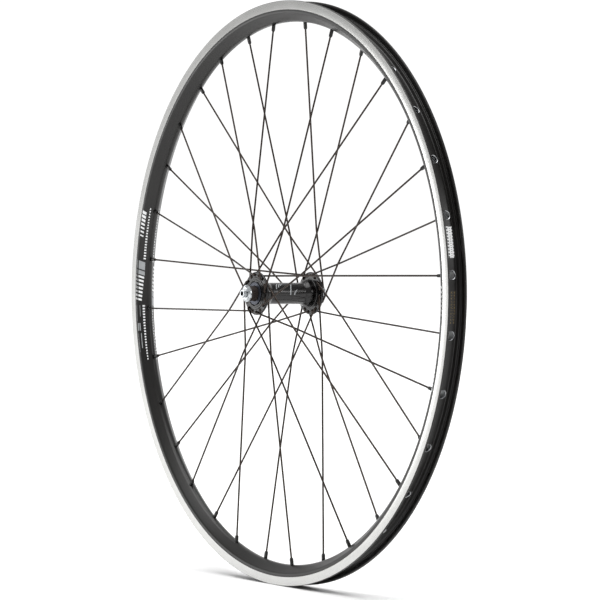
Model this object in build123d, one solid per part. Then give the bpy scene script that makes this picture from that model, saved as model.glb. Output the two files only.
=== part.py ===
from build123d import *
import os
from math import acos, cos, pi, radians, sin, sqrt, tan

os.makedirs("parts", exist_ok=True)

# Front wheel of a road bicycle with rim brakes, bare of tyre, tube and skewer.
# Millimetres. The origin is the wheel's centre, the axle lies along Y and +Z is up.
# With the bicycle heading along +X, -Y is the wheel's right side and +Y its left side.
# Angles about the axle are in degrees, from +X towards +Z. "Inboard" is towards y = 0.

# --- Driving dimensions: rim ---
bead_seat_r = 311.0
hook_height = 6.2
rim_depth = 22.5
rim_width = 23.0
tyre_gap = 18.0
track_cut = 0.1
track_height = 9.7
well_depth = 3.5
well_half = 5.9
shelf_half = 7.4
hook_undercut = 0.7
side_wall = 1.4
floor_wall = 1.3
bed_wall = 2.6
bed_round_r = 6.0
flank_angle = 45.0
valve_r = 3.25
valve_angle = 87.9
plug_half_angle = 4.0
access_r = 4.5

# --- Driving dimensions: hub ---
over_locknuts = 100.0
axle_stub = 4.0
axle_r = 4.5
axle_bore_r = 2.5
axle_chamfer = 0.4
relief_depth = 0.4
relief_width = 0.6
flange_inset = 15.0
flange_thickness = 3.0
flange_edge = 3.4
flange_round = 1.2
barrel_r = 11.7
barrel_taper = 4.5
housing_length = 7.5
shell_wall = 2.05
shell_bore_r = 8.0
boss_band = 1.7
boss_rise = 0.6
step_width = 2.0
groove_width = 1.3
groove_depth = 1.5

# --- Driving dimensions: bearings and what is locked on the axle ---
ball_r = 2.38125
ball_count = 10
ball_gap = 0.68
bearing_inset = 3.8
cup_wall = 1.0
cup_back = 1.3
cup_skirt = 2.6
cup_lip = 1.2
cone_body = 3.1
cone_nose = 2.2
cone_flats = 13.0
cone_flats_length = 3.6
cover_wall = 0.4
cap_wall = 1.3
cap_web = 1.2
cap_rise = 0.7
washer_thickness = 1.8
nut_length = 3.8
nut_r = 9.25
nut_rim = 1.2
nut_collar = 1.0
nut_face_r = 6.6
nut_flats = 15.0
nut_teeth = 30
tooth_side = 0.45

# --- Driving dimensions: spokes and nipples ---
spoke_count = 32
crosses = 3
first_spoke_angle = 3.525
rim_hole_offset = 1.2
spoke_r = 1.0
elbow_r = 1.6
set_r = 60.0
head_r = 2.1
head_height = 1.3
head_bevel_z = 0.5
head_top_r = 1.2
nipple_length = 12.0
nipple_r = 2.0
nipple_tip_r = 1.6
nipple_taper = 1.4
nipple_flats = 3.3
nipple_flats_length = 5.8
nipple_head_r = 2.9
nipple_head = 2.4
nipple_slot = 1.0
seat_sink = 0.5

# --- Driving dimensions: labels in the tyre well ---
label_thickness = 0.15
label_half_width = 4.6
label_spans = {"light": (6.7, 12.6), "dark": (-5.5, 0.6)}

# --- Named clearances ---
ball_play = 0.03
axle_fit = 0.02
axle_end_fit = 0.05
relief_reach = 0.2
head_room = 0.78
cap_running_gap = 0.35
cover_end_gap = 0.1
cap_cup_gap = 0.4
plug_fit = 0.1
spoke_hole_fit = 0.3
hole_chamfer = 0.4
spoke_thread_fit = 0.02
head_gap = 0.05
inner_elbow_gap = 0.1
outer_elbow_gap = 1.1
cross_gap = 0.15
nipple_hole_fit = 0.2
nipple_seat_fit = 0.05

# --- Sizes that follow from them ---
outer_r = bead_seat_r + hook_height
apex_r = outer_r - rim_depth
track_half = rim_width / 2
wall_half = track_half + track_cut
track_low_r = outer_r - track_height
floor_r = bead_seat_r - well_depth
flank = radians(flank_angle)
vee_r = apex_r - bed_round_r * (1 / sin(flank) - 1)
bed_in_r = apex_r + bed_wall
plug_angle = valve_angle + 180

face_y = over_locknuts / 2
flange_y = face_y - flange_inset
flange_in_y = flange_y - flange_thickness / 2
flange_out_y = flange_y + flange_thickness / 2
spoke_hole_r = spoke_r + spoke_hole_fit
bearing_y = flange_y - bearing_inset
ball_circle_r = (ball_r + ball_gap / 2) / sin(pi / ball_count)
race_r = ball_r + ball_play
cup_r = ball_circle_r + race_r + cup_wall
cup_back_y = bearing_y - race_r - cup_back
housing_r = cup_r + shell_wall
groove_r = cup_r + groove_width
boss_r = groove_r + boss_band + step_width
hole_circle_r = boss_r + head_r + head_room
flange_r = hole_circle_r + flange_edge
boss_y = flange_out_y + 2 * boss_rise
axle_hole_r = axle_r + axle_fit
axle_end_r = axle_r - axle_end_fit
cone_r = axle_r + cone_body
cover_r = cone_r + cover_wall
cap_face_y = boss_y + cap_rise
nut_back_y = face_y - nut_length
washer_y = nut_back_y - washer_thickness

seat_r = bed_in_r - seat_sink
hole_pitch = 360 / spoke_count
lace_angle = 2 * hole_pitch * crosses
nipple_shank = nipple_length - nipple_head


def polar(radius, y, angle):
    """Point at a radius and angle about the axle, at height y along it."""
    return Vector(radius * cos(radians(angle)), y, radius * sin(radians(angle)))


def turned_to(angle, shape):
    """The shape, carried round the axle by an angle from +X towards +Z."""
    return Rot(0, -angle, 0) * shape


def both_halves(half):
    """Closes an outline given for y >= 0 with its mirror image in y."""
    return half + [(r, -y, fillet) for r, y, fillet in reversed(half) if y > 0]


def section(corners):
    """Face in the half-plane of radius and y, from corners (radius, y, fillet radius)."""
    places = [(r, y) for r, y, fillet in corners]
    fillets = [fillet for r, y, fillet in corners]
    return make_face(FilletPolyline(*places, radius=fillets, close=True))


def ring(corners):
    """Solid of revolution about the axle."""
    return revolve(section(corners), Axis.Y)


def sharp(*places):
    """Corners without fillets."""
    return [(r, y, 0) for r, y in places]


# --- Rim ---


def flank_half(radius, wall):
    """Half width of the rim's flank at a radius, a wall's thickness inside its outer face."""
    return (radius - vee_r) * tan(flank) - wall / cos(flank)


def rim_outline():
    """Rounded vee towards the hub, brake tracks at the sides, hooks and tyre well outside."""
    shoulder_r = vee_r + wall_half / tan(flank)
    gap_half = tyre_gap / 2
    pocket_half = gap_half + hook_undercut
    half = [
        (vee_r, 0, bed_round_r),
        (shoulder_r, wall_half, 0.8 * bed_round_r),
        (track_low_r, wall_half, 0),
        (track_low_r, track_half, 0),
        (outer_r, track_half, 0.5),
        (outer_r, gap_half + 0.6, 0.4),
        (outer_r - 1.3, gap_half, 0.4),
        (outer_r - 2.6, gap_half, 0.4),
        (outer_r - 3.8, pocket_half, 0.4),
        (bead_seat_r, pocket_half, 0.5),
        (bead_seat_r, shelf_half, 0.6),
        (floor_r, well_half, 0.8),
    ]
    return both_halves(half)


def hollow_outline(extra):
    """The rim's closed chamber, taken in by an extra gap all round."""
    wall = side_wall + extra
    low_r = bed_in_r + extra
    high_r = floor_r - floor_wall - extra
    half_width = track_half - wall
    mid_r = vee_r + (half_width + wall / cos(flank)) / tan(flank)
    half = [
        (low_r, flank_half(low_r, wall), 0.8),
        (mid_r, half_width, 1.2),
        (high_r, half_width, 0.8),
    ]
    return both_halves(half)


def radial_cylinder(radius, low_r, high_r):
    """Cylinder along +X from one distance from the axle to another."""
    base = Plane(origin=(low_r, 0, 0), z_dir=(1, 0, 0))
    return base * Cylinder(radius, high_r - low_r, align=(Align.CENTER, Align.CENTER, Align.MIN))


def make_rim():
    """Double-walled rim with slanting nipple seats, access holes and the valve hole."""
    rim = revolve(section(rim_outline()) - section(hollow_outline(0)), Axis.Y)
    access = radial_cylinder(access_r, floor_r - 2 * floor_wall, floor_r + floor_wall)
    tools = [turned_to(valve_angle, radial_cylinder(valve_r, apex_r - bed_wall, outer_r))]
    for index in range(spoke_count):
        angle = spoke_angle(index)
        side, lead = spoke_kind(index)
        tools.append(turned_to(angle, nipple_frame(side, lead) * nipple_seat_tool()))
        tools.append(turned_to(angle, access))
    return rim - tools


def make_rim_plug():
    """Plug inside the chamber that bridges the rim's joint, opposite the valve hole."""
    plug = revolve(section(hollow_outline(plug_fit)), Axis.Y, 2 * plug_half_angle)
    return turned_to(plug_angle + plug_half_angle, plug)


def make_label(span):
    """Thin label on the floor of the tyre well, between two access holes."""
    low, high = span
    top_r = floor_r + label_thickness
    half = [(floor_r, label_half_width, 0), (top_r, label_half_width, 0)]
    return turned_to(high, revolve(section(both_halves(half)), Axis.Y, high - low))


# --- Lacing ---
# Even holes belong to the right flange and odd ones to the left. Of each side's spokes, one
# in two leads: it leaves the flange's inboard face, crossed = +1. The others trail: -1.


def spoke_angle(index):
    return first_spoke_angle + hole_pitch * index


def spoke_kind(index):
    """Side (-1 right, +1 left) and lead (+1 leading, -1 trailing) of a rim hole."""
    side = -1 if index % 2 == 0 else 1
    lead = 1 if index % 4 < 2 else -1
    return side, lead


def spoke_corners(side, lead):
    """Points at the hub hole, the last crossing and the nipple seat, for a rim angle of 0."""
    bend = radians(lace_angle)
    half_gap = radians(hole_pitch)
    slant = seat_r * sin(half_gap) + hole_circle_r * sin(bend - half_gap)
    cross_r = seat_r * hole_circle_r * sin(bend) / slant
    seat = polar(seat_r, side * rim_hole_offset, 0)
    hole = polar(hole_circle_r, side * flange_y, lead * lace_angle)
    cross = polar(cross_r, 0, lead * hole_pitch)
    share = (cross.X - hole.X) / (seat.X - hole.X)
    # The leading spoke passes outside the trailing one at their last crossing.
    middle = flange_y + (rim_hole_offset - flange_y) * share
    cross.Y = side * (middle + lead * (spoke_r + cross_gap / 2))
    hole.Y = side * run_y(lead)
    return hole, cross, seat


def run_y(lead):
    """Distance from the wheel's middle at which a spoke's elbow lies beside its flange."""
    if lead > 0:
        return flange_in_y - spoke_r - inner_elbow_gap
    return flange_out_y + spoke_r + outer_elbow_gap


def nipple_frame(side, lead):
    """Location at the nipple's seat, with Z along the spoke and away from the hub."""
    hole, cross, seat = spoke_corners(side, lead)
    return Plane(origin=seat, x_dir=(0, 1, 0), z_dir=seat - cross).location


def make_spoke(side, lead):
    """Headed spoke: head, elbow through the flange, set at the last crossing, threaded end."""
    hole, cross, seat = spoke_corners(side, lead)
    head_y = flange_out_y + head_gap if lead > 0 else flange_in_y - head_gap
    start = polar(hole_circle_r, side * (head_y + lead * head_height / 2), lead * lace_angle)
    end = seat + (seat - cross).normalized() * (nipple_head - 0.6)
    path = FilletPolyline(start, hole, cross, end, radius=[elbow_r, set_r])
    outward = Vector(0, side * lead, 0)
    base = polar(hole_circle_r, side * head_y, lead * lace_angle)
    return wire_along(path) + Plane(origin=base, z_dir=outward) * spoke_head()


def wire_along(path):
    """Round wire: straight runs extruded and bends turned about their own centres."""
    runs = []
    for edge in path.edges():
        start_dir = edge % 0
        end = Plane(origin=edge @ 0, z_dir=start_dir) * Circle(spoke_r)
        if edge.geom_type == GeomType.CIRCLE:
            bend_axis = Axis(edge.arc_center, start_dir.cross(edge % 1))
            runs.append(revolve(end, bend_axis, start_dir.get_angle(edge % 1)))
        else:
            runs.append(extrude(end, edge.length, dir=start_dir))
    return runs[0] + runs[1:]


def spoke_head():
    """Head turned about Z, flat at z = 0 and bevelled at the top."""
    bevel = (head_r, head_bevel_z), (head_top_r, head_height)
    return turned_z((0, 0), (head_r, 0), *bevel, (0, head_height))


def turned_z(*places):
    """Solid turned about Z from (radius, z) corners."""
    return revolve(Plane.XZ * make_face(Polyline(*places, close=True)), Axis.Z)


def make_nipple():
    """Nipple along Z with the foot of its head's cone at z = 0, square towards the hub."""
    bore_r = spoke_r + spoke_thread_fit
    cone_height = nipple_head_r - nipple_r
    body = turned_z(
        (bore_r, -nipple_shank),
        (nipple_tip_r, -nipple_shank),
        (nipple_r, nipple_taper - nipple_shank),
        (nipple_r, 0),
        (nipple_head_r, cone_height),
        (nipple_head_r, nipple_head),
        (bore_r, nipple_head),
    )
    reach = 2 * nipple_head_r
    square = Box(nipple_flats, nipple_flats, reach * 4)
    key_z = nipple_flats_length - nipple_shank
    upwards = (Align.CENTER, Align.CENTER, Align.MIN)
    keep = Pos(0, 0, key_z) * Box(reach, reach, reach * 2, align=upwards)
    slot = Pos(0, 0, nipple_head) * Box(reach, nipple_slot, 2 * nipple_slot)
    return body & (square + keep) - slot


def nipple_seat_tool():
    """Cutter for a nipple's hole and seat: the nipple's outline with room all round."""
    hole_r = nipple_r + nipple_hole_fit
    wide_r = nipple_head_r + nipple_seat_fit
    sink = nipple_r + nipple_seat_fit * sqrt(2)
    low = -2 * bed_wall
    high = nipple_head + bed_wall
    cone = (hole_r, hole_r - sink), (wide_r, wide_r - sink)
    return turned_z((0, low), (hole_r, low), *cone, (wide_r, high), (0, high))


def make_nipples(side):
    nipple = make_nipple()
    placed = []
    for index in range(spoke_count):
        kind = spoke_kind(index)
        if kind[0] == side:
            placed.append(turned_to(spoke_angle(index), nipple_frame(*kind) * nipple))
    return Compound(children=placed)


# --- Hub, each side's pieces drawn on +Y and mirrored for the right ---


def make_hub_shell():
    """One-piece shell: barrel, bearing housings and drilled flanges with stepped faces."""
    half = [
        (barrel_r, flange_in_y - housing_length - barrel_taper, 4.0),
        (housing_r, flange_in_y - housing_length, 2.0),
        (housing_r, flange_in_y, 1.2),
        (flange_r, flange_in_y, flange_round),
        (flange_r, flange_out_y, flange_round),
        (boss_r, flange_out_y, 0.3),
        (boss_r, flange_out_y + boss_rise, 0.3),
        (boss_r - step_width, flange_out_y + boss_rise, 0.2),
        (boss_r - step_width, boss_y, 0.3),
        (groove_r, boss_y, 0.3),
        (groove_r, boss_y - groove_depth, 0),
        (cup_r, boss_y - groove_depth, 0),
        (cup_r, cup_back_y, 0),
        (shell_bore_r, cup_back_y, 0),
    ]
    shell = ring(both_halves(half))
    tools = []
    for side in (-1, 1):
        tool = Pos(hole_circle_r, side * flange_y, 0) * spoke_hole_tool()
        for index in range(spoke_count):
            kind = spoke_kind(index)
            if kind[0] == side:
                tools.append(turned_to(spoke_angle(index) + kind[1] * lace_angle, tool))
    return shell - tools


def spoke_hole_tool():
    """Cutter along Y for one flange hole, chamfered at both faces."""
    half = flange_thickness / 2
    wide = spoke_hole_r + hole_chamfer
    corners = sharp(
        (0, half + hole_chamfer),
        (wide + hole_chamfer, half + hole_chamfer),
        (spoke_hole_r, half - hole_chamfer),
    )
    mirrored = [(r, -y, fillet) for r, y, fillet in reversed(corners)]
    return ring(corners + mirrored)


def make_cup():
    """Pressed-in steel cup whose race wraps the balls from inboard and outside."""
    outer_edge = ball_circle_r + race_r
    inner_y = bearing_y - race_r
    lip_r = ball_circle_r - cup_lip
    front_y = bearing_y + cup_skirt
    half = race_r * sqrt(0.5)
    line = Polyline(
        (outer_edge, bearing_y),
        (outer_edge, front_y),
        (cup_r, front_y),
        (cup_r, cup_back_y),
        (lip_r, cup_back_y),
        (lip_r, inner_y),
        (ball_circle_r, inner_y),
    )
    race = ThreePointArc(
        (ball_circle_r, inner_y), (ball_circle_r + half, bearing_y - half), (outer_edge, bearing_y)
    )
    return revolve(make_face(line + race), Axis.Y)


def make_cone():
    """Screwed-on cone whose race wraps the balls from outboard and inside, with wrench flats."""
    race_low_r = ball_circle_r - race_r
    nose_y = bearing_y - cone_nose
    wrap = acos((ball_circle_r - cone_r) / race_r)
    shoulder = (cone_r, bearing_y + race_r * sin(wrap))
    middle = (ball_circle_r - race_r * cos(wrap / 2), bearing_y + race_r * sin(wrap / 2))
    line = Polyline(
        shoulder,
        (cone_r, washer_y),
        (axle_hole_r, washer_y),
        (axle_hole_r, nose_y),
        (race_low_r, nose_y),
        (race_low_r, bearing_y),
    )
    cone = revolve(make_face(line + ThreePointArc((race_low_r, bearing_y), middle, shoulder)), Axis.Y)
    return cone - flats_tool(cone_r, cone_flats, washer_y - cone_flats_length, cone_flats_length)


def flats_tool(radius, across, start_y, length):
    """Cutter that leaves two parallel wrench flats on a round body."""
    place = (0, start_y + length / 2, 0)
    slab = Pos(*place) * Box(4 * radius, length, 4 * radius)
    return slab - Pos(*place) * Box(4 * radius, 2 * length, across)


def make_dust_cap():
    """Pressed-in cap that closes the housing and runs clear of the cone's cover."""
    start_y = bearing_y + cup_skirt + cap_cup_gap
    web_r = cover_r + cap_running_gap
    return ring(
        [
            (cup_r, start_y, 0),
            (cup_r, cap_face_y, 0.4),
            (web_r, cap_face_y, 0.3),
            (web_r, cap_face_y - cap_web, 0),
            (cup_r - cap_wall, cap_face_y - cap_web, 0),
            (cup_r - cap_wall, start_y, 0),
        ]
    )


def make_cone_cover():
    """Rubber sleeve over the cone and the washer, from inside the dust cap to the locknut."""
    start_y = cap_face_y - cap_web / 2
    end_y = nut_back_y - cover_end_gap
    return ring(sharp((cone_r, start_y), (cover_r, start_y), (cover_r, end_y), (cone_r, end_y)))


def make_washer():
    """Spacing washer between cone and locknut."""
    inner = (axle_hole_r, nut_back_y), (axle_hole_r, washer_y)
    return ring(sharp(*inner, (cone_r, washer_y), (cone_r, nut_back_y)))


def make_locknut():
    """Locknut with a collar for the wrench and a toothed cone round its flat contact face."""
    collar_y = nut_back_y + nut_collar
    rim_y = collar_y + nut_rim
    nut = ring(
        sharp(
            (axle_hole_r, nut_back_y),
            (nut_r - nut_collar, nut_back_y),
            (nut_r - nut_collar, collar_y),
            (nut_r, collar_y),
            (nut_r, rim_y),
            (nut_face_r, face_y),
            (axle_hole_r, face_y),
        )
    )
    rise = face_y - rim_y
    run = nut_r - nut_face_r
    middle = ((nut_r + nut_face_r) / 2, (rim_y + face_y) / 2, 0)
    slope = Plane(origin=middle, x_dir=(-run, rise, 0), z_dir=(rise, run, 0))
    # Long enough to run out through the rim's corner, and short of the flat face.
    length = sqrt(rise**2 + run**2)
    tooth = slope * Pos(-0.1 * length, 0, 0) * Rot(45, 0, 0) * Box(length, tooth_side, tooth_side)
    teeth = [turned_to(360 / nut_teeth * index, tooth) for index in range(nut_teeth)]
    return nut - teeth - flats_tool(nut_r, nut_flats, nut_back_y, nut_collar)


def make_ball_set():
    """The loose balls of one bearing, evenly spread round the race."""
    step = 360 / ball_count
    places = [polar(ball_circle_r, bearing_y, step * index) for index in range(ball_count)]
    return Compound(children=[Pos(place) * Sphere(ball_r) for place in places])


def make_axle():
    """Hollow axle: a thread between the locknuts, a relief groove, and thinner plain ends."""
    end_y = face_y + axle_stub
    relief_r = axle_r - relief_depth
    groove_end_y = face_y + relief_reach
    half = sharp(
        (axle_r, groove_end_y - relief_width),
        (relief_r, groove_end_y - relief_width),
        (relief_r, groove_end_y),
        (axle_end_r, groove_end_y),
        (axle_end_r, end_y - axle_chamfer),
        (axle_end_r - axle_chamfer, end_y),
        (axle_bore_r, end_y),
    )
    return ring(both_halves(half))


# --- Nodes ---


def save(node, shape):
    export_step(shape, f"parts/{node}.step")


save("rim", make_rim())
save("rim_joint_plug", make_rim_plug())
for tone, span in label_spans.items():
    save(f"rim_label_{tone}", make_label(span))

spokes = {kind: make_spoke(*kind) for kind in [(-1, 1), (-1, -1), (1, 1), (1, -1)]}
for index in range(spoke_count):
    save(f"spoke_{index + 1:02d}", turned_to(spoke_angle(index), spokes[spoke_kind(index)]))
save("nipples_right", make_nipples(-1))
save("nipples_left", make_nipples(1))

save("hub_shell", make_hub_shell())
save("axle", make_axle())
hub_pieces = {
    "bearing_cup": make_cup(),
    "ball_set": make_ball_set(),
    "cone": make_cone(),
    "dust_cap": make_dust_cap(),
    "cone_cover": make_cone_cover(),
    "spacing_washer": make_washer(),
    "locknut": make_locknut(),
}
for name, piece in hub_pieces.items():
    save(f"{name}_left", piece)
    save(f"{name}_right", mirror(piece, about=Plane.XZ))
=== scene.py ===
# %% [markdown]
# # A spoked bicycle front wheel
# The CAD model comes in as a fixed frame: its bodies turn, its nodes say where everything is.
# This lesson gives it its looks. The rim, the spokes and the nipples are the pieces that a viewer
# sees most. The rim and the spokes are thin and curved, so they are made again here as fine
# surfaces worked out with numpy. The nipples and the hub's turned parts are already fine enough,
# and only get their finishes.

# %% The frame
import math

import bmesh
import bpy
import numpy as np
from mathutils import Matrix, Vector


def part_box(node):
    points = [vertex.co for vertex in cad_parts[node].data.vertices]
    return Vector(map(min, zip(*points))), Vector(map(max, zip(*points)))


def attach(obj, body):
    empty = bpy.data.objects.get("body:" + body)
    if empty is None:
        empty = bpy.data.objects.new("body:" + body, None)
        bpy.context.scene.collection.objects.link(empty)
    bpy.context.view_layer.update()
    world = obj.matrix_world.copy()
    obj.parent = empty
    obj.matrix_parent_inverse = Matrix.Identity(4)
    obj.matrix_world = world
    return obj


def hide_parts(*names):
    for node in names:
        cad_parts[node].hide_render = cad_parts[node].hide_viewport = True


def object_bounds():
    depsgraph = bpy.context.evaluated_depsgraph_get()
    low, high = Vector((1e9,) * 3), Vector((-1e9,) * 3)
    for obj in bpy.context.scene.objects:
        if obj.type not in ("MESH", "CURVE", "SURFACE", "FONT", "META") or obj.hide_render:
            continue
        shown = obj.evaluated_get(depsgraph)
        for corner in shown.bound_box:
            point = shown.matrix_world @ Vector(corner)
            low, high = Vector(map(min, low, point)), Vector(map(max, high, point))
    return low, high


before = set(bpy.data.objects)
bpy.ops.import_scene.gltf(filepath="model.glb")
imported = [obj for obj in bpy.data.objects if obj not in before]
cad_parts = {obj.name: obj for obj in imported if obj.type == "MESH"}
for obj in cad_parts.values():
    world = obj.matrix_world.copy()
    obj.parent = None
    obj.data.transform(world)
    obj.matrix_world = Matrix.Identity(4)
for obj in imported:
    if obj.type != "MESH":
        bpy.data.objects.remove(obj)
cad_low, cad_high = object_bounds()
frame_nodes = [item.name for item in bpy.data.objects if item.type == "MESH"]
print("CAD box in metres:", [round(side, 4) for side in cad_high - cad_low])

# %% [markdown]
# ## Units and places
# Drawings of wheels are in millimetres, so the sizes here are too, and every mesh is scaled to
# metres once, when it is made. Angles about the axle count from +X towards +Z. The near side of
# the wheel, at -Y, is its right side. The rim's outside radius and width are given here, and the
# gap between that radius and the frame's rim is printed. The other sizes are those that the CAD
# model was drawn with.

# %% Driving dimensions
MM = 0.001
_, rim_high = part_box("rim")
rim_out_r = 317.2
track_half = 11.5
wall_half = 11.6
flank_turn_r = 4.8
chamber_half = 10.1
track_low_r = 307.5
bead_seat_r = 311.0
tyre_gap_half = 9.0
pocket_half = 9.7
shelf_half = 7.4
floor_r = 307.5
floor_half = 5.9
ceiling_r = 306.2
apex_r = 294.7
bed_round_r = 6.0
bed_in_r = 297.3
side_wall = 1.4
access_r = 4.5
valve_r = 3.25
valve_angle = 87.9

hole_count = 32
first_angle = 3.525
hole_offset = 1.2
hub_hole_r = 20.097
flange_in = 33.5
flange_out = 36.5
flange_mid = 35.0
crosses = 3
spoke_r = 1.0
elbow_r = 1.6
set_r = 60.0
seat_r = 296.8
nipple_hole_r = 2.35
inner_gap = 0.1
outer_gap = 1.1
cross_gap = 0.15
pitch = 360 / hole_count
lace = 2 * pitch * crosses
print("rim box against the drawing:", round(rim_high.x / MM - rim_out_r, 2), "mm")

# %% [markdown]
# ## Surfaces from grids
# A smooth made thing is a surface: a function of two parameters. Each helper below works on whole
# arrays of points. A block is an array of grids, and a block's neighbours share their edge points,
# so merging points that coincide closes the seams. Sharp edges come from the angle between faces.


# %% Grid helpers
def around(angle, radius, y):
    """A point at a radius and an angle about the axle: radius times cosine, y, radius times sine."""
    angle, radius, y = np.broadcast_arrays(np.radians(angle), radius, y)
    return np.stack([radius * np.cos(angle), y, radius * np.sin(angle)], -1)


def quads(shape, wrap_rows=False, wrap_columns=False):
    """Corners of the quads between neighbouring rows and columns of each grid in a stack."""
    stack, rows, columns = shape
    row = np.arange(rows if wrap_rows else rows - 1)[:, None]
    column = np.arange(columns if wrap_columns else columns - 1)[None, :]
    next_row, next_column = (row + 1) % rows, (column + 1) % columns
    corners = [
        row * columns + column,
        row * columns + next_column,
        next_row * columns + next_column,
        next_row * columns + column,
    ]
    one = np.stack(np.broadcast_arrays(*corners), -1).reshape(-1, 4)
    return (one[None] + (np.arange(stack) * rows * columns)[:, None, None]).reshape(-1, 4)


def block(points, finish=0, wrap_rows=False, wrap_columns=False, keep=None):
    """One stack of grids, with its finish and, if only some quads are kept, a mask of them."""
    points = points if points.ndim == 4 else points[None]
    faces = quads(points.shape[:3], wrap_rows, wrap_columns)
    if keep is not None:
        faces = faces[keep.ravel()]
    return points.reshape(-1, 3), faces, finish


def make_piece(name, blocks, finishes, body, replaced=(), sharp=35):
    """Joins blocks into one closed mesh with outward faces, in metres, riding on a body."""
    starts = np.cumsum([0] + [len(points) for points, _, _ in blocks[:-1]])
    points = np.concatenate([points for points, _, _ in blocks]) * MM
    faces = np.concatenate([faces + start for (_, faces, _), start in zip(blocks, starts)])
    finish = np.concatenate([np.full(len(faces), index) for _, faces, index in blocks])
    mesh = bpy.data.meshes.new(name)
    mesh.from_pydata(points, [], faces)
    mesh.polygons.foreach_set("material_index", finish.astype(np.int32))
    for material in finishes:
        mesh.materials.append(material)
    shape = bmesh.new()
    shape.from_mesh(mesh)
    bmesh.ops.remove_doubles(shape, verts=shape.verts, dist=2e-6)
    bmesh.ops.dissolve_degenerate(shape, edges=shape.edges, dist=1e-6)
    bmesh.ops.recalc_face_normals(shape, faces=shape.faces)
    open_edges = sum(not edge.is_manifold for edge in shape.edges)
    shape.to_mesh(mesh)
    shape.free()
    mesh.shade_smooth()
    mesh.set_sharp_from_angle(angle=math.radians(sharp))
    piece = bpy.data.objects.new(name, mesh)
    bpy.context.scene.collection.objects.link(piece)
    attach(piece, body)
    if replaced:
        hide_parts(*replaced)
    print(name, len(mesh.polygons), "faces,", open_edges, "open edges")
    return piece


def rounded(corners, steps=5):
    """Outline whose corners (radius, y, fillet) become arcs that touch both of their runs.

    Each arc's ends lie fillet times the tangent of half the turn from the corner, and its points
    turn evenly about its centre. The first and last corners stay sharp.
    """
    places = np.array([corner[:2] for corner in corners], float)
    outline = [places[:1]]
    for before, here, after, corner in zip(places, places[1:], places[2:], corners[1:]):
        come = (here - before) / np.linalg.norm(here - before)
        leave = (after - here) / np.linalg.norm(after - here)
        turn = math.atan2(come[0] * leave[1] - come[1] * leave[0], come @ leave)
        side = np.array([-come[1], come[0]]) * math.copysign(1, turn)
        start = here - come * corner[2] * math.tan(abs(turn) / 2)
        share = np.linspace(0, abs(turn), steps if corner[2] else 1)[:, None]
        outline.append(start + corner[2] * (np.sin(share) * come + (1 - np.cos(share)) * side))
    return np.concatenate(outline + [places[-1:]])


# %% [markdown]
# ## Materials
# Each finish is named for the real material and for how its surface was made; the chamber's also
# says that light is painted into it. One function turns an sRGB hex value to linear light, and one
# adds a node with its settings and links.


# %% Material helpers
def linear(hex_code):
    """sRGB hex to linear: below 0.04045 divide by 12.92, else ((c + 0.055) / 1.055) to the 2.4."""
    srgb = np.array([int(hex_code[i : i + 2], 16) for i in (1, 3, 5)]) / 255
    low, high = srgb / 12.92, ((srgb + 0.055) / 1.055) ** 2.4
    return (*np.where(srgb <= 0.04045, low, high), 1.0)


def add(tree, kind, settings=None, **inputs):
    """Adds a node. Settings are its properties, inputs its sockets: a value, or a socket to link."""
    node = tree.nodes.new(kind)
    for name, value in (settings or {}).items():
        setattr(node, name, value)
    for name, value in inputs.items():
        key = int(name[1:]) if name[0] == "_" and name[1:].isdigit() else name.replace("_", " ")
        if isinstance(value, bpy.types.NodeSocket):
            tree.links.new(value, node.inputs[key])
        else:
            node.inputs[key].default_value = value
    return node


def start(name):
    """An empty material with nodes, and its tree."""
    material = bpy.data.materials.new(name)
    material.use_nodes = True
    material.node_tree.nodes.clear()
    return material, material.node_tree


def shade(tree, **inputs):
    """Ends a tree with the main shader, its same-all-over values set on its own sockets."""
    shader = add(tree, "ShaderNodeBsdfPrincipled", **inputs)
    add(tree, "ShaderNodeOutputMaterial", Surface=shader.outputs[0])
    return shader


def place_mm(tree):
    """Object coordinates in millimetres."""
    place = add(tree, "ShaderNodeTexCoord").outputs["Object"]
    return add(tree, "ShaderNodeVectorMath", {"operation": "SCALE"}, _0=place, Scale=1 / MM).outputs[0]


def round_axle(tree):
    """Distance from the axle, height along it and angle about it, as three sockets."""
    split = add(tree, "ShaderNodeSeparateXYZ", _0=place_mm(tree)).outputs
    flat = add(tree, "ShaderNodeCombineXYZ", X=split[0], Z=split[2]).outputs[0]
    radius = add(tree, "ShaderNodeVectorMath", {"operation": "LENGTH"}, _0=flat).outputs["Value"]
    angle = add(tree, "ShaderNodeMath", {"operation": "ARCTAN2"}, _0=split[2], _1=split[0]).outputs[0]
    return radius, split[1], angle


def blend(tree, share, low, high):
    """Colour between two hex tones, by a share."""
    tones = {"_6": linear(low), "_7": linear(high)}
    return add(tree, "ShaderNodeMix", {"data_type": "RGBA"}, _0=share, **tones).outputs[2]


def between(tree, value, low, high):
    """The middle of a noise's range stretched to go from low to high."""
    ends = {"From_Min": 0.35, "From_Max": 0.65, "To_Min": low, "To_Max": high}
    return add(tree, "ShaderNodeMapRange", Value=value, **ends).outputs[0]


def noise(tree, vector, size, detail=3.0):
    """Noise whose largest blotches are about a size in millimetres."""
    settings = {"Scale": 1 / size, "Detail": detail}
    return add(tree, "ShaderNodeTexNoise", Vector=vector, **settings).outputs[0]


# %% [markdown]
# Most parts are metal cut on a lathe, rolled or drawn, so most finishes share one recipe. A slow
# cloud of noise varies the tone a little. A fine grain varies the roughness and raises the
# surface. On turned parts the grain depends on the distance from the axle and the height along
# it only, so it makes rings, as a lathe's tool does. The real tool marks are finer than a tenth
# of a millimetre and wouldn't show, so they are drawn coarser here.


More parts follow.
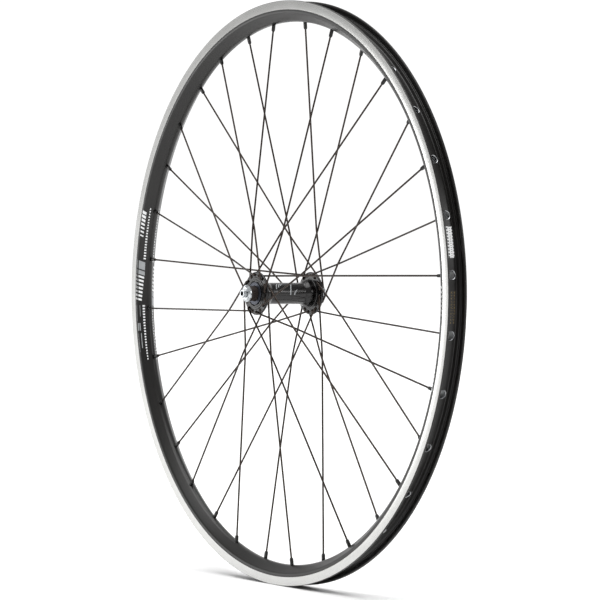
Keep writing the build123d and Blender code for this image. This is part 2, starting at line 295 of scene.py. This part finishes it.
# %% The recipe
def worked(name, tones, rough, metallic, grain=0.5, cloud=25, depth=0.01, rings=True, **inputs):
    """Two tones mixed by a cloud, and a grain that sets roughness and a shallow bump."""
    material, tree = start(name)
    mark_place = place_mm(tree)
    if rings:
        radius, height, _ = round_axle(tree)
        mark_place = add(tree, "ShaderNodeCombineXYZ", X=radius, Y=height).outputs[0]
    tone = blend(tree, noise(tree, place_mm(tree), cloud), *tones)
    marks = noise(tree, mark_place, grain, 4.0)
    bump = add(tree, "ShaderNodeBump", Height=marks, Distance=depth * MM, Strength=1.0)
    roughness = between(tree, marks, *rough)
    shader = shade(tree, Base_Color=tone, Roughness=roughness, Normal=bump.outputs[0], Metallic=metallic)
    for socket, value in inputs.items():
        shader.inputs[socket.replace("_", " ")].default_value = value
    return material, tree, shader


# %% Metals of the rim
# Anodising leaves a dark, slightly glossy oxide over the extrusion's fine lines.
anodised, *_ = worked("black_anodised_aluminium", ("#0b0a09", "#161412"), (0.28, 0.4), 0.15, 0.8)

# The brake track is cut with a single tool as the rim turns, so it shines across its grooves.
machined, tree, shader = worked(
    "machined_aluminium", ("#c8c8c6", "#d8d8d6"), (0.24, 0.4), 1.0, 0.35, depth=0.012, Anisotropic=0.7
)
tangent = add(tree, "ShaderNodeTangent", {"direction_type": "RADIAL", "axis": "Y"})
tree.links.new(tangent.outputs[0], shader.inputs["Tangent"])

# Holes are drilled after anodising, so their walls are bare.
drilled, *_ = worked("drilled_aluminium", ("#b4b6b8", "#cdcfd1"), (0.25, 0.45), 1.0, 0.3, 4, rings=False)
# The chamber between the walls is bare extruded aluminium. Its grey is painted lighter than that metal's
# own, as painted light for the light that comes in through the holes.
chamber, *_ = worked("extruded_aluminium", ("#c4c6c8", "#dcddde"), (0.4, 0.6), 0.5, 0.6)

# %% Wire, brass, and the hub's metals
# Drawn stainless wire, blackened: brownish where the light catches it.
wire_black, *_ = worked(
    "blackened_stainless_wire", ("#28211d", "#3b322c"), (0.28, 0.42), 0.75, 0.6, 12, rings=False
)
brass_black, *_ = worked(
    "blackened_brass", ("#131313", "#222120"), (0.22, 0.38), 0.6, 0.5, 6, rings=False
)
hub_black, *_ = worked(
    "black_anodised_turned_aluminium", ("#050404", "#0e0c0c"), (0.12, 0.22), 0.1, 0.45, 10, 0.004
)
cap_grey, *_ = worked("grey_anodised_turned_aluminium", ("#2f3138", "#434751"), (0.25, 0.4), 0.7, 0.3, 8)
ground_steel, *_ = worked("ground_bearing_steel", ("#b3b4b6", "#cfd0d2"), (0.06, 0.14), 1.0, 0.2, 6, 0.002)
nickel, *_ = worked("nickel_plated_steel", ("#a9adb0", "#c8cbcd"), (0.14, 0.28), 1.0, 0.4, 5, 0.006)
zinc, *_ = worked("zinc_plated_steel", ("#a3a7aa", "#c6c9cb"), (0.25, 0.4), 1.0, 0.4, 5)

# Moulded rubber has a dull skin with a fine, even roughness.
rubber, *_ = worked("moulded_rubber", ("#1d1512", "#2b201b"), (0.45, 0.65), 0.0, 0.35, 6, 0.02, rings=False)

# %% [markdown]
# The axle is threaded. Its thread is a bump whose height is a sine of the height along the axle,
# in turns of one millimetre, plus the angle, so the crest climbs by one pitch in each turn.

# %% The axle's thread
thread, tree, shader = worked("rolled_thread_steel", ("#9a9da0", "#bfc2c4"), (0.22, 0.36), 1.0, 0.4, 5)
radius, height, angle = round_axle(tree)
turns = add(tree, "ShaderNodeMath", {"operation": "MULTIPLY"}, _0=height, _1=2 * math.pi).outputs[0]
phase = add(tree, "ShaderNodeMath", {"operation": "ADD"}, _0=turns, _1=angle).outputs[0]
crest = add(tree, "ShaderNodeMath", {"operation": "SINE"}, _0=phase).outputs[0]
thread_bump = add(tree, "ShaderNodeBump", Height=crest, Distance=0.12 * MM, Strength=1.0)
tree.links.new(thread_bump.outputs[0], shader.inputs["Normal"])

# Inside the bore's radius, 2.6 mm from the axis, the steel is coloured nearly black.
outside = add(tree, "ShaderNodeMath", {"operation": "GREATER_THAN"}, _0=radius, _1=2.6).outputs[0]
steel = shader.inputs["Base Color"].links[0].from_socket
bore = add(tree, "ShaderNodeMix", {"data_type": "RGBA"}, _0=outside, _6=linear("#141210"), _7=steel)
tree.links.new(bore.outputs[2], shader.inputs["Base Color"])

# %% [markdown]
# Printed things are ink on film or straight on the rim. Their marks here are plain bars in rows,
# with nothing to read: a brick pattern whose bricks are the bars and whose mortar is the film.
# Lengths along the rim are the angle in radians times the radius of the tyre well's floor.


# %% Ink and film
def film(name, bars, ground, bar_size, gap):
    """Film with rows of bars: a brick pattern over length along the rim and height across it."""
    material, tree = start(name)
    radius, height, angle = round_axle(tree)
    length = add(tree, "ShaderNodeMath", {"operation": "MULTIPLY"}, _0=angle, _1=floor_r).outputs[0]
    place = add(tree, "ShaderNodeCombineXYZ", X=length, Y=height).outputs[0]
    sizes = {"Scale": 1.0, "Mortar_Size": gap, "Brick_Width": bar_size[0], "Row_Height": bar_size[1]}
    tones = {"Color1": linear(bars[0]), "Color2": linear(bars[1]), "Mortar": linear(ground)}
    rows = add(tree, "ShaderNodeTexBrick", {"offset": 0.37, "squash": 0.6}, Vector=place, **sizes, **tones)
    wrinkle = noise(tree, place_mm(tree), 3.0)
    bump = add(tree, "ShaderNodeBump", Height=wrinkle, Distance=0.02 * MM, Strength=1.0)
    roughness = between(tree, wrinkle, 0.3, 0.45)
    shade(tree, Base_Color=rows.outputs[0], Roughness=roughness, Normal=bump.outputs[0])
    return material


light_film = film("white_printed_film", ("#25282b", "#44484b"), "#e9eaea", (3.2, 3.07), 0.75)
dark_film = film("black_printed_film", ("#8d7844", "#63532f"), "#111010", (3.0, 1.9), 0.7)
ink = ((0.4, 0.5), 0.0, 0.5, 8, 0.004)
white_ink, *_ = worked("white_printed_ink", ("#dfe1e2", "#f2f3f3"), *ink, rings=False)
grey_ink, *_ = worked("grey_printed_ink", ("#8e9193", "#a7aaac"), *ink, rings=False)

# %% [markdown]
# ## The rim
# The real rim is one long extrusion, rolled into a hoop, pinned at its joint, drilled, anodised
# black and then machined bright along the two brake tracks. Its section is drawn once and carried
# round the axle. The floor of the tyre well and the bed towards the hub are bands with holes in
# them. Round each hole the grid becomes rings that spread from the hole's circle to the cell's
# square edge, and each hole's wall joins the rim's outside to the chamber between its two walls.

# %% The rim's columns
cell_half = 1.5
valve_cell = pitch / 2
steps = {"cell": 8, "gap": 3, "middle": 6}
edges = [
    np.linspace(-cell_half, cell_half, steps["cell"], endpoint=False),
    np.linspace(cell_half, valve_cell - cell_half, steps["gap"], endpoint=False),
    np.linspace(valve_cell - cell_half, valve_cell + cell_half, steps["middle"], endpoint=False),
    np.linspace(valve_cell + cell_half, pitch - cell_half, steps["gap"], endpoint=False),
]
pitch_columns = np.concatenate(edges)
hole_angles = first_angle + pitch * np.arange(hole_count)
columns = (hole_angles[:, None] + pitch_columns).ravel()
hole_sides = np.where(np.arange(hole_count) % 2 == 0, -1.0, 1.0)
valve_index = int(round((valve_angle - valve_cell - first_angle) / pitch))
print(len(columns), "columns round the rim, valve between holes", valve_index, valve_index + 1)

# %% The rim's sections
strip_half = 3.9
band_half = 5.2
vee_r = apex_r - bed_round_r * (math.sqrt(2) - 1)
arc_half = bed_round_r * math.sqrt(0.5)


def bed_outside(y):
    """Bed's outer face: a circle of the bed's radius, then the flank at 45 degrees."""
    arc = apex_r + bed_round_r - np.sqrt(np.maximum(bed_round_r**2 - y**2, 0))
    return np.where(np.abs(y) < arc_half, arc, vee_r + np.abs(y))


def bed_inside(y):
    """Bed's inner face: flat, then rising with the flank, softened where the two meet."""
    rise = vee_r + np.abs(y) + side_wall * math.sqrt(2) - bed_in_r
    return bed_in_r + 0.5 * (rise + np.sqrt(rise**2 + 0.25))


def floor_outside(y):
    """Floor of the tyre well, flat."""
    return np.full_like(np.asarray(y, float), floor_r)


def ceiling(y):
    """The chamber's outer wall, flat."""
    return np.full_like(np.asarray(y, float), ceiling_r)


flank_corners = [
    (vee_r + arc_half, arc_half, 0),
    (vee_r + wall_half, wall_half, flank_turn_r),
    (track_low_r, wall_half, 0),
]
bed_edge = np.array([[bed_outside(strip_half), strip_half]])
flank = np.concatenate([bed_edge, rounded(flank_corners, 9)])
track = np.array([[track_low_r, wall_half], [track_low_r, track_half], [rim_out_r - 0.5, track_half]])
lip = rounded(
    [
        (rim_out_r - 0.5, track_half, 0),
        (rim_out_r, track_half, 0.5),
        (rim_out_r, tyre_gap_half + 0.6, 0.4),
        (rim_out_r - 1.3, tyre_gap_half, 0.4),
        (rim_out_r - 2.6, tyre_gap_half, 0.4),
        (rim_out_r - 3.8, pocket_half, 0.4),
        (bead_seat_r, pocket_half, 0.5),
        (bead_seat_r, shelf_half, 0.6),
        (floor_r, floor_half, 0.8),
        (floor_r, band_half, 0),
    ],
    4,
)
inner_corners = [
    (float(bed_inside(strip_half)), strip_half, 0),
    (vee_r + chamber_half + side_wall * math.sqrt(2), chamber_half, 1.2),
    (ceiling_r, chamber_half, 0.8),
    (ceiling_r, band_half, 0),
]
inner = rounded(inner_corners, 4)


# %% Bands with holes
def cell_border(row_y, cells):
    """Each cell's border, once round: low edge, right edge, high edge and left edge in turn."""
    low, high = row_y[0], row_y[-1]
    border = [
        np.stack(np.broadcast_arrays(cells[:-1], low), -1),
        np.stack(np.broadcast_arrays(cells[-1], row_y[:-1]), -1),
        np.stack(np.broadcast_arrays(cells[:0:-1], high), -1),
        np.stack(np.broadcast_arrays(cells[0], row_y[:0:-1]), -1),
    ]
    return np.concatenate(border)


def hole_rings(centres, radius, border, height, arc_r, rings=4):
    """Rings from a hole's circle to its cell's border, a straight blend along each direction.

    The border's angles become lengths by the arc's radius. The circle's point lies in the same
    direction from the hole's centre as the border's point.
    """
    offset = np.stack([np.radians(border[:, 0]) * arc_r, border[:, 1]], -1)
    centre = np.stack([np.zeros(len(centres)), centres[:, 1]], -1)[:, None]
    away = offset[None] - centre
    circle = centre + radius * away / np.linalg.norm(away, axis=-1, keepdims=True)
    share = np.linspace(0, 1, rings)[None, :, None, None]
    place = circle[:, None] * (1 - share) + offset[None, None] * share
    angle = centres[:, 0][:, None, None] + np.degrees(place[..., 0] / arc_r)
    return around(angle, height(place[..., 1]), place[..., 1]), circle


def pierced_band(row_y, height, groups, arc_r, finish):
    """A band of the rim with some cells left out for holes, and those cells' rings."""
    grid = around(columns[None, :], height(row_y)[:, None], row_y[:, None])
    keep = np.ones((len(row_y) - 1, len(columns)), bool)
    blocks = []
    for first, count, offsets, centres, radius in groups:
        index = (first[:, None] + np.arange(count)[None, :]).ravel() % len(columns)
        keep[:, index] = False
        rings, _ = hole_rings(centres, radius, cell_border(row_y, offsets), height, arc_r)
        blocks.append(block(rings, finish, wrap_columns=True))
    return [block(grid, finish, wrap_columns=True, keep=keep)] + blocks


def hole_walls(centres, offsets, row_y, arc_r, radii, heights, finish):
    """A hole's wall: its circle at several depths, each with a radius and a height function."""
    levels = []
    for radius, height in zip(radii, heights):
        border = cell_border(row_y, offsets)
        rings, _ = hole_rings(centres, radius, border, height, arc_r, rings=2)
        levels.append(rings[:, 0])
    return block(np.stack(levels, 1), finish, wrap_columns=True)


# %% Make the rim
spoke_cells = np.append(edges[0], cell_half)
valve_cells = np.append(edges[2], valve_cell + cell_half) - valve_cell
columns_per_pitch = len(pitch_columns)
spoke_first = np.arange(hole_count) * columns_per_pitch
valve_first = np.array([valve_index * columns_per_pitch + steps["cell"] + steps["gap"]])
bed_y = np.linspace(-strip_half, strip_half, 9)
well_y = np.linspace(-band_half, band_half, 9)
seats = np.stack([hole_angles, hole_offset * hole_sides], -1)
access = np.stack([hole_angles, 0 * hole_angles], -1)
valve = np.array([[valve_angle, 0.0]])
chamfer = 0.35
BLACK, TRACK, RAW, CHAMBER = range(4)


def holes(centres, radius, valve_radius):
    """The two groups of holes in a band: one for each spoke, and the valve's."""
    return [
        (spoke_first, steps["cell"], spoke_cells, centres, radius),
        (valve_first, steps["middle"], valve_cells, valve, valve_radius),
    ]


def lowered(height, depth):
    """The same height function, moved by a depth."""
    return lambda y: height(y) + depth


rim_blocks = []
for side in (-1, 1):
    for outline, finish in ((flank, BLACK), (track, TRACK), (lip, BLACK), (inner, CHAMBER)):
        strip = around(columns[None, :], outline[:, :1], side * outline[:, 1:])
        rim_blocks.append(block(strip, finish, wrap_columns=True))
well_holes = holes(access, access_r + chamfer, valve_r + chamfer)
rim_blocks += pierced_band(well_y, floor_outside, well_holes, floor_r, BLACK)
rim_blocks += pierced_band(well_y, ceiling, holes(access, access_r, valve_r), floor_r, CHAMBER)
bed_holes = holes(seats, nipple_hole_r, valve_r)
rim_blocks += pierced_band(bed_y, bed_outside, bed_holes, apex_r, BLACK)
rim_blocks += pierced_band(bed_y, bed_inside, bed_holes, apex_r, CHAMBER)
for centres, offsets, radius in ((access, spoke_cells, access_r), (valve, valve_cells, valve_r)):
    radii = (radius + chamfer, radius, radius)
    heights = (floor_outside, lowered(floor_outside, -chamfer), ceiling)
    rim_blocks.append(hole_walls(centres, offsets, well_y, floor_r, radii, heights, RAW))
for centres, offsets, radius in ((seats, spoke_cells, nipple_hole_r), (valve, valve_cells, valve_r)):
    radii, heights = (radius, radius), (bed_outside, bed_inside)
    rim_blocks.append(hole_walls(centres, offsets, bed_y, apex_r, radii, heights, RAW))
rim_finishes = [anodised, machined, drilled, chamber]
rim = make_piece("rim_hoop", rim_blocks, rim_finishes, "wheel", ["rim"])

# %% [markdown]
# ## The spokes
# A spoke is drawn wire with a forged head and a bent elbow. It is laced: half of each side's
# spokes lean forward and half back, and where two cross for the last time they change places, so
# each wire has a slight set there. All corners of one spoke lie in a plane that holds the axle's
# direction, so the tube's rings need only that plane's normal and the wire's own direction.


# %% Where a spoke goes
def spoke_corners(side, lead):
    """Hub hole, last crossing and nipple seat of a spoke whose rim hole is at angle 0.

    The crossing's radius is where the line from seat to hub hole meets the half pitch's ray.
    """
    bend, half_gap = math.radians(lace), math.radians(pitch)
    slant = seat_r * math.sin(half_gap) + hub_hole_r * math.sin(bend - half_gap)
    cross_r = seat_r * hub_hole_r * math.sin(bend) / slant
    elbow_y = flange_in - spoke_r - inner_gap if lead > 0 else flange_out + spoke_r + outer_gap
    hole = around(lead * lace, hub_hole_r, side * elbow_y)
    cross = around(lead * pitch, cross_r, 0.0)
    seat = around(0.0, seat_r, side * hole_offset)
    share = (cross[0] - hole[0]) / (seat[0] - hole[0])
    middle = flange_mid + (hole_offset - flange_mid) * share
    cross[1] = side * (middle + lead * (spoke_r + cross_gap / 2))
    return hole, cross, seat


def spoke_kind(index):
    """Side and lead: sides take turns, and on each side every other spoke leans forward."""
    return (-1 if index % 2 == 0 else 1), (1 if index % 4 < 2 else -1)


def turned(points, angle):
    """Points carried round the axle: x and z turn by the angle, y stays."""
    c, s = math.cos(math.radians(angle)), math.sin(math.radians(angle))
    x, y, z = points[..., 0], points[..., 1], points[..., 2]
    return np.stack([c * x - s * z, y, s * x + c * z], -1)


def unit(vector):
    """A vector divided by its length."""
    return vector / np.linalg.norm(vector, axis=-1, keepdims=True)


def wire_path(corners, radii, steps=12):
    """Runs joined by arcs: an arc's points are its centre, minus and plus turning directions."""
    path = [corners[:1]]
    for before, here, after, radius in zip(corners, corners[1:], corners[2:], radii):
        come, leave = unit(here - before), unit(after - here)
        turn = math.acos(np.clip(come @ leave, -1, 1))
        start = here - come * radius * math.tan(turn / 2)
        side = unit(leave - (leave @ come) * come)
        share = np.linspace(0, turn, steps)[:, None]
        path.append(start + radius * (np.sin(share) * come + (1 - np.cos(share)) * side))
    return np.concatenate(path + [corners[-1:]])


def tube(path, radius, normal, sides=20):
    """A ring round each point: radius times (cosine times normal plus sine times binormal)."""
    along = unit(np.gradient(path, axis=0))
    across = np.cross(along, normal)
    angle = np.linspace(0, 2 * math.pi, sides, endpoint=False)[None, :, None]
    ring = np.cos(angle) * normal + np.sin(angle) * across[:, None]
    return path[:, None] + radius[:, None, None] * ring


# %% Make the spokes
# The wire ends inside its nipple, and the head stands a hair off the flange.
hidden_end = 1.8
head_gap = 0.05
head_profile = np.array(
    [[0, 0], [0.7, 0.08], [1.35, 0.3], [1.85, 0.65], [2.1, 1.05], [2.1, 1.2], [1.9, 1.3]]
)
for index in range(hole_count):
    side, lead = spoke_kind(index)
    hole, cross, seat = spoke_corners(side, lead)
    face_y = flange_out + head_gap if lead > 0 else flange_in - head_gap
    outward = np.array([0.0, side * lead, 0.0])
    base = np.array([hole[0], side * face_y, hole[2]])
    end = seat + unit(seat - cross) * hidden_end
    path = wire_path(np.array([base, hole, cross, end]), (elbow_r, set_r))
    head = base + outward * (head_profile[-1, 1] - head_profile[:, 1:])
    normal = unit(np.cross([0.0, 1.0, 0.0], seat - cross))
    # Rings of the head are turned about the hole's axis, the others follow the wire.
    wire = tube(path, np.full(len(path), spoke_r), normal)
    angle = np.linspace(0, 2 * math.pi, wire.shape[1], endpoint=False)[None, :, None]
    head_across = np.cross(-outward, normal)
    head_ring = np.cos(angle) * normal + np.sin(angle) * head_across
    dome = head[:, None] + head_profile[:, 0][:, None, None] * head_ring
    closed_end = np.repeat(end[None, None], wire.shape[1], 1)
    grid = turned(np.concatenate([dome, wire, closed_end]), hole_angles[index])
    name = f"spoke_{index + 1:02d}"
    make_piece(f"{name}_wire", [block(grid, wrap_columns=True)], [wire_black], "wheel", [name])

# %% [markdown]
# ## The print on the rim's sides
# Two blocks of print lie on each side, a quarter turn from the valve hole. They are ink on the
# anodised flank, just below the brake track. Here they are thin sheets that follow the flank, a
# few hundredths of a millimetre proud of it: slanted bars, a row of small squares and fine lines.

# %% The flank as a length
flank_steps = np.linalg.norm(np.diff(flank[::-1], axis=0), axis=1)
flank_length = np.concatenate([[0], np.cumsum(flank_steps)])
ink_lift = 0.03


def on_flank(length, lift):
    """Radius and y at a length below the brake track's edge, lifted along the outward normal."""
    step = 0.6
    lengths = np.stack([length, length + step, length - step])
    radius = np.interp(lengths, flank_length, flank[::-1, 0])
    y = np.interp(lengths, flank_length, flank[::-1, 1])
    run, drop = radius[1] - radius[2], y[1] - y[2]
    size = np.hypot(run, drop)
    return radius[0] + lift * drop / size, y[0] - lift * run / size


def bars(angles, lengths, slant, side, centre):
    """Bars (start, end) by (top, bottom), in degrees and millimetres, sheared by the slant."""
    along, down = np.linspace(0, 1, 9), np.linspace(0, 1, 7)
    start, end = angles[:, :1, None], angles[:, 1:, None]
    top, bottom = lengths[:, :1, None], lengths[:, 1:, None]
    length = top + (bottom - top) * down[None, :, None]
    angle = start + (end - start) * along[None, None, :] + slant * (length - 5)
    radius, y = on_flank(np.broadcast_to(length, angle.shape), ink_lift)
    return around(centre - side * angle, radius, side * y)


# %% Make the print
square_starts = np.concatenate([np.arange(-17.4, -5.4, 0.64), np.arange(4.9, 17.2, 0.64)])
squares = np.stack([square_starts, square_starts + 0.34], 1)
square_size = np.clip(1.25 - np.abs(square_starts) / 22, 0.5, 1)[:, None]
square_rows = 11.6 + np.array([-1.4, 1.4]) * square_size
top_starts = np.arange(-16.4, -10.8, 0.9)
top_bars = np.stack([top_starts, top_starts + np.linspace(0.66, 0.3, len(top_starts))], 1)
top_rows = np.stack([np.linspace(2.2, 3.4, len(top_starts)), np.full(len(top_starts), 7.6)], 1)
big_bars = np.array([[-5.2, -3.4], [-3.1, -2.2]])
big_rows = np.array([[1.2, 12.6], [1.2, 12.6]])
white_starts = np.arange(-1.9, 4.0, 0.86)
white_bars = np.stack([white_starts, white_starts + 0.45], 1)
white_rows = np.stack([np.full(len(white_starts), 1.2), np.linspace(12.0, 9.4, len(white_starts))], 1)
fine_bars = np.array([[4.9, 8.4], [4.9, 7.4], [8.9, 10.6], [8.9, 10.6], [11.2, 15.4], [11.2, 14.6]])
fine_rows = np.array([[2.4, 2.8], [6.8, 7.2], [3.4, 4.6], [5.4, 6.6], [3.2, 3.5], [6.4, 7.3]])
print_sets = [
    (squares, square_rows, 0.0, 0),
    (top_bars, top_rows, 0.05, 0),
    (big_bars, big_rows, 0.05, 1),
    (white_bars, white_rows, 0.05, 0),
    (fine_bars, fine_rows, 0.0, 1),
]
for side, side_name in ((-1, "right"), (1, "left")):
    print_blocks = []
    for centre in (valve_angle + 90, valve_angle - 90):
        for angles, rows, slant, ink in print_sets:
            sheet = bars(angles, rows, slant, side, centre)
            print_blocks.append(block(sheet, ink))
    make_piece(f"rim_print_{side_name}", print_blocks, [white_ink, grey_ink], "wheel")

# %% [markdown]
# The hub carries a small print too, on top of the barrel's front: plain strokes that wrap part of
# the way round. They are sheets at the barrel's radius plus the ink's thickness.

# %% Print on the barrel
barrel_r = 11.7
stroke_y = np.array([-17.0, -13.6, -10.4, 0.4, 5.6])
stroke_angles = np.array([[24, 60], [34, 60], [46, 60], [-8, 56], [-8, 20]])
across, along = np.linspace(0, 1, 5), np.linspace(0, 1, 17)
stroke_angle = stroke_angles[:, :1, None] + np.ptp(stroke_angles, 1)[:, None, None] * along
height = stroke_y[:, None, None] + 1.3 * across[None, :, None] + 3.4 * along[None, None, :] ** 2
height, stroke_angle = np.broadcast_arrays(height, stroke_angle)
strokes = around(stroke_angle, barrel_r + ink_lift, height)
make_piece("hub_print", [block(strokes)], [grey_ink], "wheel")

# %% [markdown]
# ## Finishes of the turned parts
# The hub shell, axle, bearings, locknuts, caps and nipples keep their CAD shapes, which are fine
# enough already. Each gets the finish of its real process.

# %% Dress the CAD pieces
dress = {
    "hub_shell": hub_black,
    "axle": thread,
    "nipples": brass_black,
    "bearing_cup": ground_steel,
    "ball_set": ground_steel,
    "cone_cover": rubber,
    "cone": ground_steel,
    "dust_cap": cap_grey,
    "spacing_washer": zinc,
    "locknut": nickel,
    # The joint plug takes the chamber's finish, with its painted light.
    "rim_joint_plug": chamber,
    "rim_label_light": light_film,
    "rim_label_dark": dark_film,
}
for node in frame_nodes:
    base = node.rsplit("_", 1)[0] if node.endswith(("_left", "_right")) else node
    if base in dress:
        mesh = bpy.data.objects[node].data
        mesh.materials.clear()
        mesh.materials.append(dress[base])
        print(node, "is", dress[base].name)

# %% [markdown]
# ## The camera and the studio
# The wheel stands on a pale floor in soft light. The camera is nearly level with the hub, well to
# one side, and far away, so that the hoop shows as a tall ellipse.

# %% Camera
camera_data = bpy.data.cameras.new("camera")
camera_data.sensor_width = 36
camera_data.lens = 156.6
camera = bpy.data.objects.new("camera", camera_data)
bpy.context.scene.collection.objects.link(camera)
view_azimuth, view_elevation, view_distance = math.radians(56.87), math.radians(0.30), 2.844
right = np.array([math.cos(view_azimuth), math.sin(view_azimuth), 0])
back = np.array(
    [
        math.sin(view_azimuth) * math.cos(view_elevation),
        -math.cos(view_azimuth) * math.cos(view_elevation),
        math.sin(view_elevation),
    ]
)
up = np.cross(back, right)
aim = 0.0174 * right - 0.0072 * up
placing = np.eye(4)
placing[:3] = np.stack([right, up, back, aim + view_distance * back], 1)
camera.matrix_world = Matrix(placing)
bpy.context.scene.camera = camera

# %% Floor and light
ground = cad_low.z
reach = 30.0
floor_mesh = bpy.data.meshes.new("floor")
corner = np.array([(-1, -1), (1, -1), (1, 1), (-1, 1)]) * reach
floor_mesh.from_pydata(np.column_stack([corner, np.full(4, ground)]), [], [(0, 1, 2, 3)])
floor = bpy.data.objects.new("floor", floor_mesh)
bpy.context.scene.collection.objects.link(floor)
paper, *_ = worked("white_paper_sweep", ("#f6f6f6", "#fafafa"), (0.7, 0.9), 0.0, 3.0, 400, rings=False)
floor_mesh.materials.append(paper)

world = bpy.data.worlds.new("studio")
world.use_nodes = True
tree = world.node_tree
tree.nodes.clear()
# A white backdrop behind the wheel and a dimmer room on the camera's side, so that the black
# parts look black and bright metal has something to show.
direction = add(tree, "ShaderNodeTexCoord").outputs["Generated"]
behind = {"_0": direction, "_1": tuple(-back)}
facing = add(tree, "ShaderNodeVectorMath", {"operation": "DOT_PRODUCT"}, **behind).outputs["Value"]
dimming = {"From_Min": 0.2, "From_Max": 0.85, "To_Min": 0.45, "To_Max": 1.08}
strength = add(tree, "ShaderNodeMapRange", {"interpolation_type": "SMOOTHSTEP"}, Value=facing, **dimming)
backdrop = add(tree, "ShaderNodeBackground", Color=(1, 1, 1, 1), Strength=strength.outputs[0])
add(tree, "ShaderNodeOutputWorld", Surface=backdrop.outputs[0])
bpy.context.scene.world = world


def light(name, kind, azimuth, elevation, distance, **settings):
    """A lamp aimed at the wheel's middle from an azimuth and elevation in degrees."""
    lamp = bpy.data.lights.new(name, kind)
    for key, value in settings.items():
        setattr(lamp, key, value)
    holder = bpy.data.objects.new(name, lamp)
    bpy.context.scene.collection.objects.link(holder)
    turn, rise = math.radians(azimuth), math.radians(elevation)
    spot = Vector((math.sin(turn) * math.cos(rise), -math.cos(turn) * math.cos(rise), math.sin(rise)))
    turned_to = spot.to_track_quat("Z", "Y").to_matrix().to_4x4()
    holder.matrix_world = Matrix.Translation(spot * distance) @ turned_to


light("overhead", "SUN", 20, 80, 5, energy=2.8, angle=math.radians(60))
light("left_box", "AREA", -50, 0, 2.6, energy=7, shape="RECTANGLE", size=0.5, size_y=0.9)
light("right_box", "AREA", 120, 20, 2.6, energy=7, shape="RECTANGLE", size=0.3, size_y=0.8)
bpy.context.scene.view_settings.view_transform = "Standard"
